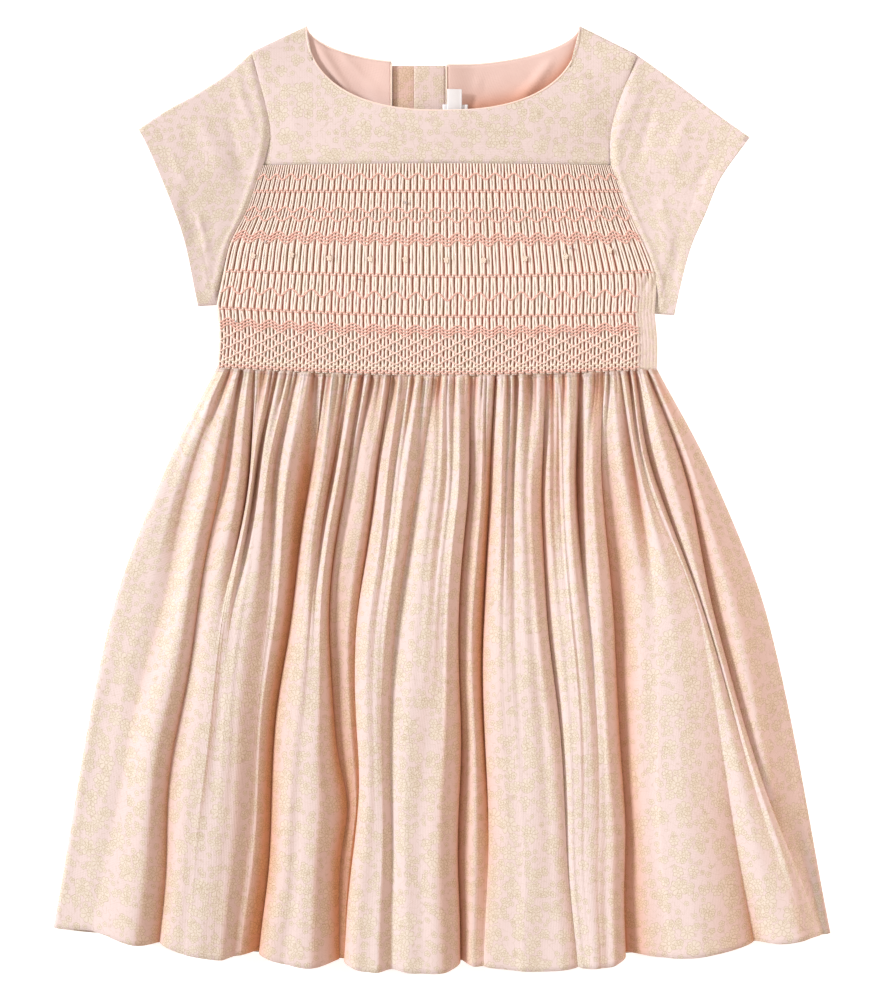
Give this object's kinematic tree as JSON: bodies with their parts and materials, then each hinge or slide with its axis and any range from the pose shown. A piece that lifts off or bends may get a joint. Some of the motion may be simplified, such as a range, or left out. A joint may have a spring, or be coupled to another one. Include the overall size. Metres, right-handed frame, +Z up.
{
  "type": "child's smocked cotton dress, laid flat",
  "caption": "Child's short-sleeved dress laid flat on its back: round neck, smocked bodice front over a full gathered skirt, button closure behind.",
  "frame": {"origin": "middle of the laid dress's bounding box, on the table it lies on", "axes": "+X to the right as the front is seen, +Y towards the neck, +Z up from the table, out of the dress's front"},
  "size_m": [0.4776, 0.58, 0.0178],
  "materials": {
    "print_cotton": "matte cotton lawn with a small flower print",
    "lining_cotton": "plain matte cotton",
    "label_satin": "smooth woven satin",
    "button_shell": "pearly gloss"
  },
  "bodies": {
    "root": {"front_yoke": "print_cotton", "front_smocking": "print_cotton", "front_skirt": "print_cotton", "back_bodice_left": "print_cotton", "back_bodice_right": "print_cotton", "back_lining_left": "lining_cotton", "back_lining_right": "lining_cotton", "placket_outer": "print_cotton", "placket_inner": "print_cotton", "back_skirt": "print_cotton", "sleeve_left": "print_cotton", "sleeve_right": "print_cotton", "label_wide": "label_satin", "label_size": "label_satin", "button_1": "button_shell", "button_2": "button_shell", "button_3": "button_shell", "button_4": "button_shell"}
  },
  "joints": []
}
